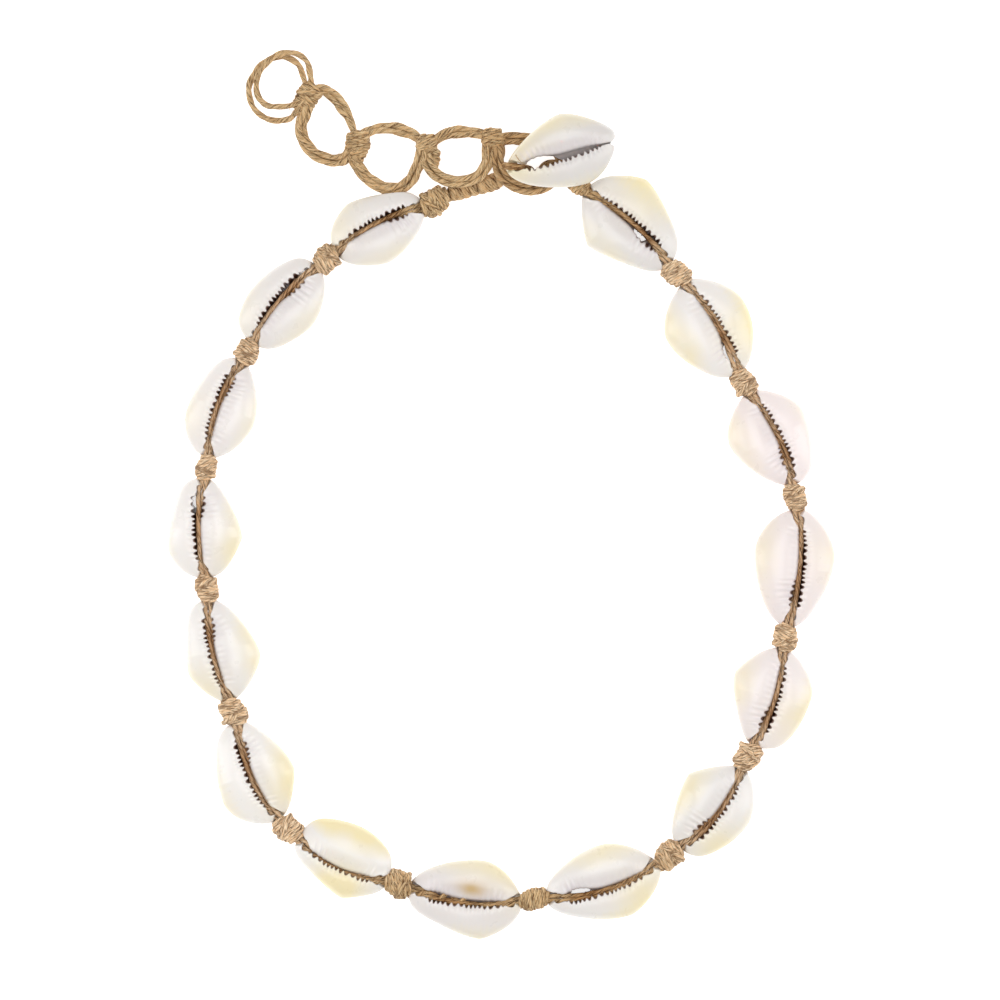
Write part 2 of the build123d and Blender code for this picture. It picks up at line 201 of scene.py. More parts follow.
# Route of the string: the corners at the knots, as the solids have them, and the way inside the stem
STEM_ROUTE = [(9.2, 64.6, 3.2), (5.8, 63.6, 2.5), (2.6, 62.9, 2.1), (-5.4, 60.8, 2.6)]
STRING_HEIGHT = 3.0
STRING_ROUTE = [
    (-13.3, 58.6), (-35.6, 47.7), (-51.5, 28.7), (-59.9, 5.2), (-59.3, -19.2), (-53.9, -43.9),
    (-44.1, -68.9), (-20.6, -79.0), (6.9, -82.6), (34.8, -74.0), (50.4, -53.2), (57.5, -29.0),
    (60.6, -0.6), (48.8, 22.2), (36.0, 44.6), (15.7, 61.6),
]
TIE_ROUTE = [
    (14.75, 62.4, 3.0), (14.6, 64.0, 3.2), (13.5, 65.6, 4.4), (11.2, 65.9, 4.9), (8.9, 65.4, 4.6),
    (7.9, 63.8, 4.2), (6.6, 63.0, 5.4), (6.2, 64.3, 7.6), (5.0, 64.7, 8.7), (3.0, 65.0, 8.9),
    (1.3, 65.2, 8.3), (0.7, 65.3, 7.0),
]

# Height of the string inside a shell, at shares of half its length
STRING_RISE = [(-0.88, 3.1), (-0.6, 4.0), (-0.2, 4.35), (0.3, 4.35), (0.64, 3.9), (0.88, 3.1)]

# The shell through whose front half a third cord is braided
BRAIDED = 8

# Knots of the string: turns, slant in degrees, and the end that a band crosses (0 for none)
Knot = namedtuple("Knot", "turns slant cross")
KNOTS = [
    Knot(6, 20, 1), Knot(7, 24, -1), Knot(6, 18, 1), Knot(6, -16, 1), Knot(7, 20, -1),
    Knot(7, 26, 1), Knot(7, 22, -1), Knot(6, -18, 1), Knot(7, 24, 0), Knot(6, 20, 1),
    Knot(7, -24, 1), Knot(7, 22, -1), Knot(7, 18, 1), Knot(7, 20, -1), Knot(7, 24, 0), Knot(5, 18, 0),
]

# Extender knots: middle of the windings and direction of the cord inside, in degrees, length and
# width of the windings, turns, slant, and the end that a band crosses
Tied = namedtuple("Tied", "x y turn length width turns slant cross")
EXTENDER_KNOTS = [
    Tied(-38.8, 79.0, 58, 5.2, 5.0, 6, 20, 1),
    Tied(-28.7, 69.4, 80, 5.2, 5.2, 6, -10, 1),
    Tied(-14.8, 69.7, 88, 3.0, 4.6, 4, -8, 0),
    Tied(-1.4, 70.8, 92, 3.2, 5.3, 4, 6, 0),
]
# The bulge of windings at the lower right of the third knot
BULGE = Tied(-13.4, 66.5, 72, 3.6, 2.9, 4, 20, 0)
EXTENDER_KNOT_HEIGHT = 2.75

# Sides of the loops: the solid they stand for, cords side by side, their turn about each other
# over the side, the points from knot to knot, and how much painted shade darkens it
Side = namedtuple("Side", "name cords swing points shade", defaults=(0.0,))
LOOP_SIDES = [
    Side("extender_loop_1_over", 1, 0, [
        (-37.9, 81.6, 3.0), (-38.0, 83.3, 3.2), (-39.4, 87.1, 2.3), (-43.2, 88.1, 2.3),
        (-46.9, 86.0, 2.5), (-48.9, 81.9, 1.9), (-47.6, 78.2, 1.9), (-43.9, 77.3, 3.5),
        (-40.4, 77.9, 4.4), (-38.9, 78.4, 4.6)]),
    Side("extender_loop_1_under", 1, 0, [
        (-38.9, 81.0, 2.2), (-39.4, 83.0, 1.3), (-41.0, 86.3, 0.8), (-45.2, 87.3, 0.8),
        (-49.5, 83.8, 0.8), (-50.3, 79.4, 0.8), (-47.7, 75.5, 0.8), (-42.8, 74.8, 1.4),
        (-40.5, 76.6, 4.0), (-39.4, 77.6, 4.4)]),
    Side("extender_loop_2_right", 2, 0.4, [
        (-37.9, 80.4, 2.7), (-36.4, 80.9, 2.3), (-34.2, 80.1, 1.3), (-31.2, 76.6, 1.3),
        (-29.6, 73.0, 2.3), (-29.2, 71.4, 2.7)]),
    Side("extender_loop_2_left", 3, 0.3, [
        (-38.7, 77.6, 4.5), (-39.4, 75.4, 3.6), (-40.1, 72.7, 1.5), (-38.5, 69.4, 1.5),
        (-35.0, 66.9, 1.5), (-31.6, 66.6, 3.4), (-29.9, 67.8, 4.9)]),
    Side("extender_loop_3_upper", 2, -0.4, [
        (-28.4, 70.4, 2.7), (-27.6, 71.6, 2.3), (-25.6, 72.7, 1.3), (-22.1, 73.1, 1.3),
        (-18.2, 72.1, 1.3), (-15.8, 70.5, 2.3), (-15.2, 69.6, 2.7)]),
    Side("extender_loop_3_lower", 3, 0.3, [
        (-29.6, 67.6, 4.8), (-28.6, 65.6, 3.8), (-26.2, 62.6, 1.5), (-22.2, 61.0, 1.4),
        (-18.5, 62.2, 1.4), (-16.7, 64.8, 3.2), (-15.9, 66.8, 4.2), (-15.5, 69.0, 3.4)]),
    Side("extender_loop_4_upper", 2, 0.4, [
        (-14.2, 69.4, 2.7), (-13.2, 70.5, 2.3), (-10.8, 71.9, 1.5), (-6.4, 72.3, 1.5),
        (-2.7, 71.4, 2.5), (-1.4, 70.4, 2.7)]),
    Side("extender_loop_4_lower", 3, -0.3, [
        (-15.2, 67.4, 4.2), (-14.3, 65.3, 4.5), (-11.6, 63.1, 4.4), (-8.0, 62.4, 4.9),
        (-4.8, 63.3, 4.9), (-3.0, 65.6, 4.8), (-2.5, 67.8, 4.5), (-2.4, 70.0, 3.4)]),
    Side("toggle_loop", 3, 0.5, [
        (-0.2, 70.8, 2.9), (1.3, 71.0, 3.4), (5.0, 70.7, 3.9), (9.6, 69.6, 3.9),
        (12.4, 66.6, 3.9), (11.0, 62.9, 4.0), (7.8, 60.9, 4.3), (4.6, 60.8, 4.5),
        (2.0, 61.9, 4.9), (0.2, 63.7, 4.9), (-0.4, 66.0, 4.7), (-0.2, 68.2, 4.3),
        (-0.5, 70.0, 3.4)], 0.4),
]

# Slack fibres that stand off the cords: the solid of the cord, where they start and where they
# point, and their radius
Fibre = namedtuple("Fibre", "node start way radius")
FIBRES = [
    Fibre("extender_loop_1_over", (-42.3, 76.6, 3.2), (0.5, 3.2, 0.8), 0.05),
    Fibre("extender_loop_1_over", (-41.6, 76.4, 3.4), (2.4, -1.8, 0.4), 0.05),
    Fibre("extender_loop_2_left", (-32.6, 67.6, 3.2), (0.5, 1.9, 0.8), 0.05),
    Fibre("knot_13", (62.0, -1.6, 4.4), (1.6, -1.0, 0.8), 0.06),
    Fibre("toggle_tie", (3.0, 67.3, 11.7), (2.5, -2.2, 0.2), 0.1),
    Fibre("toggle_tie", (5.2, 65.6, 11.2), (0.8, -1.0, -0.6), 0.05),
    Fibre("knot_02", (-38.0, 48.8, 4.6), (-1.4, 1.4, 0.6), 0.05),
]

# Half the floor's side in metres, and how far it lies below the necklace in millimetres
FLOOR_HALF = 3.0
FLOOR_DROP = 0.02
# Where the camera hangs in plan, and the height over the floor at which the picture has its width
CAMERA_SPOT = (-0.1, -1.4)
FRAMED_HEIGHT = 4.0


def size_setting(name, description, default):
    """A size in millimetres, kept in Blender's metres."""
    return FloatProperty(name=name, description=description, default=default * MM, unit="LENGTH")


def colour_setting(name, description, default):
    return FloatVectorProperty(
        name=name, description=description, size=3, subtype="COLOR", default=default)


class ShellSettings(bpy.types.PropertyGroup):
    """Sizes and colours of the cowrie shells"""

    width: size_setting("Width", "Width of a shell", 15.0)
    height: size_setting("Height", "Height over the cut back", 6.6)
    wall: size_setting("Wall", "Thickness of the side wall", 1.25)
    roof: size_setting("Roof", "Thickness over the hollow", 1.35)
    slit: size_setting("Slit", "Width of the toothed slit", 1.15)
    bow: size_setting("Slit bow", "How far the slit bows outwards", 0.8)
    pitch: size_setting("Tooth pitch", "Distance between two teeth", 1.05)
    teeth: size_setting("Tooth depth", "Depth of a notch", 0.4)
    canal: size_setting("Canal", "Half width of the open ends", 1.15)
    canal_floor: size_setting("Canal floor", "Height of the canals", 2.2)
    rings: IntProperty(name="Rings", description="Sections round a shell", default=400)
    white: colour_setting("White", "Porcelain white", (0.84, 0.81, 0.775))
    cream: colour_setting("Cream", "Cream of the edges", (0.86, 0.755, 0.47))
    blush: colour_setting("Blush", "Pinkish white", (0.86, 0.775, 0.755))
    stain: colour_setting("Stain", "Ochre stain", (0.60, 0.43, 0.22))
    # Painted shade: lavender beside the slit and along the ribs of the inner lip
    lavender: colour_setting("Lavender", "Shade beside the slit", (0.66, 0.60, 0.62))
    # Painted shade: the hollow inside, the lips where they roll under and the notches between the
    # teeth darken to this colour
    inside: colour_setting("Inside", "Shade of the inside", (0.10, 0.035, 0.018))


class CordSettings(bpy.types.PropertyGroup):
    """Sizes and colours of the waxed hemp cord"""

    radius: size_setting("Cord", "Radius of one cord", 0.52)
    end_radius: size_setting("End loop cord", "Radius in the end loop", 0.64)
    loop_radius: size_setting("Loop cord", "Radius in the other loops", 0.7)
    knot_radius: size_setting("Winding", "Radius of a winding of a knot", 0.43)
    lay: size_setting("Lay", "Length of one twist of the cord", 7.0)
    groove: FloatProperty(
        name="Groove", description="Depth between the two plies", default=0.26, subtype="FACTOR")
    light: colour_setting("Light", "Fibres in the light", (1.0, 0.80, 0.56))
    middle: colour_setting("Middle", "Fibres", (0.86, 0.535, 0.285))
    # Painted shade of the cords inside the shells, under the toggle, on the stem and on the tie
    shaded: colour_setting("Shaded", "Tint of the cord inside the shells", (0.50, 0.335, 0.20))
    # The dark colour serves the flecks, and also the painted shade in the grooves and the creases
    dark: colour_setting("Dark", "Flecks between the fibres", (0.11, 0.042, 0.010))
    patches: colour_setting("Patches", "Tint of the duller patches", (0.8, 0.66, 0.52))
    ochre: colour_setting("Ochre", "Tint near the clasp and opposite it", (0.80, 0.765, 0.64))


class StageSettings(bpy.types.PropertyGroup):
    """The floor, the lamps and the camera"""

    view_width: size_setting("View width", "Width of the picture, a little over the floor", 200.0)
    camera_height: size_setting("Camera height", "Height of the camera", 1600.0)
    softbox: FloatProperty(
        name="Softboxes", description="Power of each side lamp", default=2.9, unit="POWER")
    top_light: FloatProperty(
        name="Top lamp", description="Power of the lamp over the floor", default=11.9, unit="POWER")
    sky: FloatProperty(name="Surroundings", description="Strength of the pale room", default=0.44)


def shell_settings():
    return bpy.context.scene.necklace_shells


def cord_settings():
    return bpy.context.scene.necklace_cords


def stage_settings():
    return bpy.context.scene.necklace_stage


def smooth(value, low, high):
    """0 below low, 1 above high and an even rise between."""
    share = np.clip((value - low) / (high - low), 0, 1)
    return share * share * (3 - 2 * share)


def hump(value, middle, spread, power=2):
    """1 at the middle, falling away on both sides."""
    return np.exp(-((value - middle) / spread) ** power)


def blend(first, second, share):
    return first * (1 - share) + second * share


def unit(vectors):
    return vectors / np.linalg.norm(vectors, axis=-1, keepdims=True)


def heading(degrees):
    return np.array((cos(radians(degrees)), sin(radians(degrees))))


def new_work(*facts):
    """An empty bmesh that keeps the named numbers of each vertex for the material."""
    work = bmesh.new()
    for name in facts:
        work.verts.layers.float.new(name)
    return work


def flat_sheet(work, rings, sides):
    """A flat grid: x counts the rings and y the places round each."""
    middle = Matrix.Translation((rings / 2, sides / 2, 0))
    spread = Matrix.Diagonal((rings / 2, sides / 2, 1, 1))
    made = bmesh.ops.create_grid(
        work, x_segments=rings, y_segments=sides, size=1, matrix=middle @ spread)
    counts = np.rint([vert.co[:2] for vert in made["verts"]]).astype(int)
    return made["verts"], counts[:, 0], counts[:, 1]


def lay_out(work, verts, places, facts):
    """Moves each vertex to its place and gives it its numbers."""
    for vert, place in zip(verts, (places * MM).tolist()):
        vert.co = place
    for name, values in facts.items():
        layer = work.verts.layers.float[name]
        for vert, value in zip(verts, values.tolist()):
            vert[layer] = value


def make_piece(work, name, material, replaced):
    """Welds the seams, closes the ends and makes the piece that stands for the solids."""
    bmesh.ops.remove_doubles(work, verts=work.verts, dist=1e-4 * MM)
    ends = [edge for edge in work.edges if edge.is_boundary]
    if ends:
        bmesh.ops.holes_fill(work, edges=ends, sides=0)
    bmesh.ops.recalc_face_normals(work, faces=work.faces)
    mesh = bpy.data.meshes.new(name)
    work.to_mesh(mesh)
    work.free()
    mesh.shade_smooth()
    mesh.materials.append(material)
    piece = bpy.data.objects.new(name, mesh)
    bpy.context.scene.collection.objects.link(piece)
    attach(piece, BODY)
    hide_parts(*replaced)
    return piece


# Shells

def side_width(side, x, length):
    """Half width of a shell at places along it, from the five columns of its outer or inner side."""
    share, widest_at, corner, front, back = side
    widest = (widest_at - 0.5) * length
    ahead = x < widest
    reach = np.where(ahead, widest + length / 2, length / 2 - widest)
    away = np.clip(np.abs(x - widest) / reach, 0, 1)
    tip = np.where(ahead, front, back)
    power = np.where(ahead, 1.9 - 0.4 * corner, 1.8 - 0.6 * corner)
    return share * shell_settings().width / MM * (1 - (1 - tip) * away ** power)


def half_width(row, x, length, outer, least=0.0):
    """Half width of a shell at places along it on either side, closed to a round tip at its ends."""
    width = np.where(outer, side_width(row[:5], x, length), side_width(row[5:10], x, length))
    return width * np.clip(1 - (np.abs(x) / (length / 2)) ** 12, least, 1) ** 0.45


def slit_middle(along, shifts, more=0.0):
    """How far the slit's middle lies to the inner side, at a share of half the length."""
    bow = shell_settings().bow / MM + more
    return -bow + (bow + np.where(along < 0, *shifts)) * along ** 2


def shell_work(row, length, shifts, seed):
    """A cowrie as one closed sheet: out from the rim, up the side, over the face, round the lip
    of the slit, and back inside. Front tip towards -X, toothed outer lip towards -Y."""
    setting = shell_settings()
    rng = np.random.default_rng(seed)
    height, wall, roof = setting.height / MM, setting.wall / MM, setting.roof / MM
    pitch, canal_floor = setting.pitch / MM, setting.canal_floor / MM
    rings, half = setting.rings, length / 2
    turn = 2 * pi * np.arange(rings) / rings
    outer = turn < pi
    side = np.where(outer, -1.0, 1.0)
    ends = np.abs(np.cos(turn))

    # Rim
    x = -half * np.cos(turn)
    wobble = 1 + 0.012 * np.sin(2 * turn + rng.uniform(0, 6))
    wobble = wobble + 0.008 * np.sin(5 * turn + rng.uniform(0, 6))
    rim = np.stack([x, side * half_width(row, x, length, outer) * wobble], axis=1)
    rim[:, 0] -= row.cleft * hump(rim[:, 1], shifts[1], CLEFT_WIDTH) * (x > 0)

    # Slit
    slit_x = -(half - SLIT_MARGIN) * np.cos(turn)
    along = slit_x / half
    off = np.abs(along)
    lip = Lip(*[np.where(outer, *pair) for pair in zip(OUTER_LIP, INNER_LIP)])
    gape = lip.gape * setting.slit / MM
    gape = gape + row.gape_front * hump(along, *FRONT_GAPE)
    gape = gape + row.gape_middle * hump(along, *MIDDLE_GAPE)
    window = hump(along, row.window_at, 0.05 + 0.09 * abs(row.window))
    gape = gape + 0.25 * abs(row.window) * window * (outer == (row.window < 0))
    canal = np.where(along < 0, setting.canal / MM, row.canal_back)
    gape = blend(gape, canal, smooth(off, np.where(along < 0, CANAL_FROM, row.closes), CANAL_TO))
    gape = gape * (1 - ends ** 60) ** 0.5

    # Teeth of both lips, and ribs that run on from those of the inner lip
    phase = rng.uniform(0, 1)
    uneven = 0.3 * np.sin(slit_x * 0.8 + rng.uniform(0, 6))
    notch = np.clip(1 - (((slit_x / pitch + phase + uneven) % 1 - 0.5) / NOTCH) ** 2, 0, 1)
    toothed = 1 - smooth(off, *TEETH_END)
    ribbed = hump(along, *FRONT_RIBS) + 0.7 * hump(along, *BACK_RIBS)
    bitten = row.bite * hump(along, *BITE, power=4)
    ribs = 0.5 - 0.5 * np.cos(2 * pi * (slit_x / pitch * 0.94 + phase))
    ribs = np.where(outer, 0, ribs * np.clip(ribbed, 0.4, 1)) * (1 - smooth(off, *RIBS_END))
    depth = np.where(outer, 1 + 0.3 * np.sin(slit_x * 1.7), 0.3 * np.clip(ribbed, 0, 1) + 0.6 * bitten)
    depth = depth * setting.teeth / MM * toothed
    slit_y = slit_middle(along, shifts, row.bow) + side * (gape + depth * notch)
    slit = np.stack([slit_x, slit_y], axis=1)

    # Where the canals lie open at the two ends
    ridge = np.abs(rim[:, 1] - np.where(along < 0, *shifts))
    open_end = (1 - smooth(ridge, canal - 0.3, canal + 0.5)) * smooth(ends, *OPENS)

    # Lips, and the dips beside them
    away = unit(rim - slit)
    taper = blend(1.0, 0.3, smooth(ends, 0.5, 0.9))
    thinned = np.where(outer, 1, taper)
    lip_out = blend(lip.out * thinned, 0.25, open_end)
    lip_deep = blend(lip.deep * thinned * (1 - 0.5 * ends ** 4), 0.15, open_end)
    turned = slit + away * lip_out[:, None]
    gap = np.linalg.norm(rim - turned, axis=1)
    swell = rng.uniform(0, 6, 2)
    dip_deep = lip.dip_deep * (1 - ends ** 3)

    rows = []
    facts = {name: [] for name in ("edge", "inside", "notch", "warm", "fold", "stain", "rib")}
    cream_spot = np.array((row.cream_x * half, row.cream_y * setting.width / MM / 2))

    def face(points):
        """Height of the shell's face over a point, as a share of the whole."""
        x, y = points.T
        far = np.clip(np.abs(x) / half, 0, 1)
        across = np.clip(np.abs(y) / half_width(row, x, length, y < 0, 0.02), 0, 1)
        size = far + (1 - far) * across ** 1.4
        return WIDEST + (1 - WIDEST) * np.sqrt(np.clip(1 - size ** 2.6, 0, 1))

    def keep(points, z, inside, distance):
        """Adds a ring of the sheet, with what the material reads there."""
        rows.append(np.column_stack([points, z]))
        mark = (points - STAIN) / STAIN_SPREAD
        found = (
            np.clip(distance / 7, 0, 1),
            np.broadcast_to(inside, rings),
            notch * toothed * hump(distance, 0, 0.3) * np.where(outer, 1, bitten),
            hump(np.linalg.norm(points - cream_spot, axis=1), 0, 5.5),
            lip.shade * hump(distance, 0, 3.0) * (1 - ends ** 6),
            np.exp(-(mark ** 2).sum(axis=1)),
            ribs ** 3 * hump(distance, 0, 2.2, 4),
        )
        for values, value in zip(facts.values(), found):
            values.append(value)

    def level(outline, share, size, canal_top, inside):
        """A ring of a wall, at a share of the height and a size of the outline."""
        keep(outline * size, blend(share * height, share / WIDEST * canal_top, open_end), inside, gap)

    for share, size in SIDE_LEVELS:
        level(rim, share, size, canal_floor - SIDE_DROP, 0)
    for share in FACE_SHARES:
        points = blend(rim, turned, share)
        distance = gap * (1 - share) + lip_out
        z = height * face(points) - dip_deep * hump(distance, 0, lip.dip_wide)
        z = z - 0.1 * notch * toothed * outer * hump(distance, 0, 0.5)
        z = z + 0.2 * ribs * hump(distance, 0, 1.7)
        waves = np.sin(points[:, 0] * 0.55 + swell[0]) * np.sin(points[:, 1] * 0.6 + swell[1])
        z = z + 0.07 * waves * share
        keep(points, blend(z, blend(canal_floor - 0.1, canal_floor, share), open_end), 0, distance)

    # Round the lips and on below the string, the inner one on a bed and the outer one lower
    top = rows[-1][:, 2]
    under_to = np.where((along > 0) & (row.cleft > 0), 0.84, 0.6)
    under = 1 - smooth(off, under_to, under_to + 0.14)
    shelf = (SHELF - abs(row.window) * window) * under
    ledge = row.ledge * (1 - window * (row.window < 0)) * under
    drawn = 1 - window * (row.window > 0)
    bed = blend(BED, canal_floor, smooth(off, 0.5, 0.85))
    for number, roll in enumerate(ROLLS):
        beneath, last = number > 4, number > 5
        rolled = lip_out * cos(radians(roll.angle))
        sunk = lip_deep * (1 - sin(radians(roll.angle)))
        reached = taper * (min(roll.out, 1) + max(roll.out - 1, 0) * drawn) + beneath * shelf
        out = np.where(outer, rolled + beneath * ledge, blend(reached, rolled, open_end))
        inner_z = top - taper * roll.down
        if number > 3:
            inner_z = np.minimum(inner_z, bed - 0.45 * last)
        outer_z = top - sunk
        if beneath:
            low = blend(bed - LEDGE_DROP, outer_z, open_end)
            outer_z = np.minimum(outer_z, low) - 0.4 * last
        z = np.where(outer, outer_z, blend(inner_z, top - sunk, open_end))
        # Painted shade: the lips darken where they roll under, most below the string
        dark = smooth(-roll.angle, -30, 40) * (1 - open_end) * under
        dark = dark * np.where(outer, 1.0, 0.5 + 0.5 * beneath)
        keep(turned - away * out[:, None], z, dark, lip_out * (1 - cos(radians(roll.angle))))

    # Back inside: the hollow's roof and its wall, painted dark as shade
    inner = rim * (1 - wall / np.linalg.norm(rim, axis=1))[:, None]
    foot, roof_edge = rows[-1][:, 2], top - 2 * lip_deep
    start = np.where(outer, np.minimum(roof_edge, foot + 1.2), blend(foot, roof_edge, open_end))
    for share in ROOF_SHARES:
        points = blend(turned, inner, share)
        z = blend(start, (height - roof) * face(points), smooth(share, 0, 0.6))
        z = np.minimum(z, height * face(points) - 0.8 * dip_deep - 0.7)
        keep(points, blend(z, canal_floor - ROOF_DROP, open_end), 1 - open_end, gap * share + lip_out)
    for share, size in HOLLOW_LEVELS:
        level(inner, share, size, canal_floor - ROOF_DROP, 1)

    work = new_work(*facts)
    sides = len(rows)
    verts, ring, place = flat_sheet(work, rings, sides)
    pick = (place % sides, ring % rings)
    numbers = {name: np.array(values)[pick] for name, values in facts.items()}
    lay_out(work, verts, np.array(rows)[pick], numbers)
    return work


def along_string(name, direction):
    """Where a solid starts and ends along a direction, in millimetres."""
    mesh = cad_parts[name].data
    places = np.empty(len(mesh.vertices) * 3)
    mesh.vertices.foreach_get("co", places)
    reach = places.reshape(-1, 3)[:, :2] @ np.array(direction) / MM
    return reach.min(), reach.max()


def node_middle(name):
    low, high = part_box(name)
    return (np.array(low) + np.array(high)) / 2 / MM


def put(work, middle, direction, z):
    """Turns a shell's length into its direction and lays it at its place."""
    ahead = np.array((*direction, 0.0))
    across = np.cross(UP, ahead)
    turn = Matrix((
        (ahead[0], across[0], 0, middle[0] * MM),
        (ahead[1], across[1], 0, middle[1] * MM),
        (0, 0, 1, z * MM),
        (0, 0, 0, 1)))
    bmesh.ops.transform(work, matrix=turn, verts=work.verts)


# A shell's place on the string: its middle, its directions, its length, and how far its slit shifts
# to the inner side at its two ends
Spot = namedtuple("Spot", "middle ahead across length shifts")


def string_spots():
    """The middles of the string's knots, and the spots of the shells between them."""
    corners = np.array(STRING_ROUTE)
    knots = [node_middle("knot_%02d" % number) for number in range(1, len(KNOTS) + 1)]
    spots = []
    for number in range(1, len(SHELLS) + 1):
        start, finish = corners[number - 1], corners[number]
        ahead = unit(finish - start)
        across = np.array((-ahead[1], ahead[0]))
        low, high = along_string("shell_%02d" % number, ahead)
        middle = start + ahead * ((low + high) / 2 - start @ ahead)
        shifts = [(knot[:2] - middle) @ across * SHIFT for knot in knots[number - 1:number + 1]]
        spots.append(Spot(middle, ahead, across, (high - low) * LONGER, shifts))
    return knots, spots


class NECKLACE_OT_shells(bpy.types.Operator):
    """Make the fifteen cowrie shells of the string"""

    bl_idname = "necklace.shells"
    bl_label = "Shells"

    def execute(self, context):
        _, spots = string_spots()
        for number, (row, spot) in enumerate(zip(SHELLS, spots), start=1):
            work = shell_work(row, spot.length, spot.shifts, number)
            put(work, spot.middle, spot.ahead, 0)
            name = "shell_%02d" % number
            make_piece(work, "cowrie_%02d" % number, porcelain(name, row, number), [name])
        return {"FINISHED"}


class NECKLACE_OT_toggle_shell(bpy.types.Operator):
    """Make the cowrie shell that fastens the necklace"""

    bl_idname = "necklace.toggle_shell"
    bl_label = "Toggle shell"

    def execute(self, context):
        name, seed = "toggle_shell", 40
        ahead = heading(TOGGLE_TURN)
        low, high = along_string(name, ahead)
        work = shell_work(TOGGLE, (high - low) * LONGER, TOGGLE_SHIFTS, seed)
        put(work, TOGGLE_SPOT, ahead, TOGGLE_HEIGHT)
        make_piece(work, "toggle_cowrie", porcelain(name, TOGGLE, seed), [name])
        return {"FINISHED"}


# Cords

def smooth_route(points, step=CORD_STEP):
    """Even steps along a smooth curve through the points, in millimetres."""
    data = bpy.data.curves.new("route", "CURVE")
    data.dimensions = "3D"
    data.resolution_u = 16
    spline = data.splines.new("BEZIER")
    spline.bezier_points.add(len(points) - 1)
    for corner, point in zip(spline.bezier_points, points):
        corner.co = point
    for corner in spline.bezier_points:
        corner.handle_left_type = "AUTO"
        corner.handle_right_type = "AUTO"
    holder = bpy.data.objects.new("route", data)
    mesh = bpy.data.meshes.new_from_object(holder)
    line = np.array([vert.co[:] for vert in mesh.vertices])
    bpy.data.objects.remove(holder)
    bpy.data.curves.remove(data)
    bpy.data.meshes.remove(mesh)
    return even(line, step)


def even(line, step=CORD_STEP):
    """The same line in even steps, with whatever else its rows hold."""
    runs = np.linalg.norm(np.diff(line[:, :3], axis=0), axis=1)
    reach = np.concatenate([[0], np.cumsum(runs)])
    count = max(int(reach[-1] / step), 4)
    wanted = np.linspace(0, reach[-1], count + 1)
    return np.column_stack([np.interp(wanted, reach, column) for column in line.T])


def directions(line):
    """Ahead, across and over at each point of a line, carried along it without turning."""
    ahead = unit(np.gradient(line, axis=0))
    side = np.cross(ahead[0], UP)
    if np.linalg.norm(side) < 0.1:
        side = np.array((1.0, 0.0, 0.0))
    across = np.empty_like(ahead)
    for index, forward in enumerate(ahead):
        side = unit(side - forward * (side @ forward))
        across[index] = side
    return ahead, across, np.cross(across, ahead)


CORD_FACTS = ("round_x", "round_y", "run", "valley", "shade", "crease")


class Strands:
    """The cords of one piece: their bmesh, and the line and vertices of each for the painted shade
    in the creases.
    """

    def __init__(self):
        self.work = new_work(*CORD_FACTS)
        self.lines = []
        self.rings = []

    def paint_crease_shade(self):
        """Tells each vertex how near it is to another cord, or to another turn of its own, for the
        painted shade in the creases.
        """
        tree = KDTree(sum(len(line) for line, radius in self.lines))
        owners = []
        for strand, (line, radius) in enumerate(self.lines):
            for index, point in enumerate(line):
                tree.insert(point, len(owners))
                owners.append((strand, index, radius))
        tree.balance()
        layer = self.work.verts.layers.float["crease"]
        for strand, rings in enumerate(self.rings):
            line = self.lines[strand][0]
            own = int(CREASE_OWN / np.linalg.norm(line[1] - line[0]))
            for vert, index in rings:
                nearest = 1.0
                for _, number, distance in tree.find_range(vert.co / MM, CREASE_REACH):
                    other, spot, radius = owners[number]
                    if other != strand or abs(spot - index) > own:
                        nearest = min(nearest, distance - radius)
                vert[layer] = min(max(1 - nearest / CREASE, 0), 1)


def make_cords(strands, name, node_name):
    """Finishes the cords of a piece: its slack fibres, the painted shade of its creases and its
    object, no part of it below the surface that the necklace lies on."""
    for row in FIBRES:
        if row.node == node_name:
            fibre(strands, row.start, row.way, np.random.default_rng(5), row.radius)
    strands.paint_crease_shade()
    lowest = min(vert.co.z for vert in strands.work.verts)
    bmesh.ops.translate(strands.work, verts=strands.work.verts, vec=(0, 0, max(-lowest, 0)))
    return make_piece(strands.work, name, hemp(), [node_name])


def add_strand(strands, line, radius, rng, sides=14, groove=None, shade=0.0, flat=1.0):
    """One two-ply cord along a line: a flat grid rolled round it, grooved and twisted. A line with
    six columns says which way is outwards, and the cord is flattened that way."""
    setting = cord_settings()
    groove = setting.groove if groove is None else groove
    count = len(line)
    line, outwards = line[:, :3], line[:, 3:]
    ahead, across, over = directions(line)
    if outwards.shape[1]:
        across = unit(np.cross(ahead, outwards))
        over = np.cross(across, ahead)
    run = np.arange(count) * np.linalg.norm(line[1] - line[0])
    radius = np.broadcast_to(np.asarray(radius, dtype=float), (count,))
    twist = 2 * pi * run / (setting.lay / MM) + rng.uniform(0, 2 * pi)
    around = 2 * pi * np.arange(sides) / sides
    valley = 1 - np.abs(np.cos(around)) ** 0.7
    uneven = 1 + 0.05 * np.sin(run / 1.7 + rng.uniform(0, 6))
    uneven = uneven + 0.04 * np.sin(run / 0.63 + rng.uniform(0, 6))
    reach = (radius * uneven)[:, None] * (1 - groove * valley)
    angle = around + twist[:, None]
    places = line[:, None, :] + (reach * np.cos(angle) * flat ** -0.5)[:, :, None] * across[:, None, :]
    places = places + (reach * np.sin(angle) * flat ** 0.5)[:, :, None] * over[:, None, :]
    facts = {
        "round_x": radius.mean() * np.cos(around),
        "round_y": radius.mean() * np.sin(around),
        "run": (run + rng.uniform(0, 400))[:, None],
        "valley": valley,
        "shade": np.broadcast_to(shade, count)[:, None],
    }
    verts, ring, place = flat_sheet(strands.work, count - 1, sides)
    pick = (ring, place % sides)
    numbers = {name: np.broadcast_to(values, reach.shape)[pick] for name, values in facts.items()}
    lay_out(strands.work, verts, places[pick], numbers)
    strands.lines.append((line, 0.9 * radius.mean()))
    strands.rings.append(list(zip(verts, ring.tolist())))


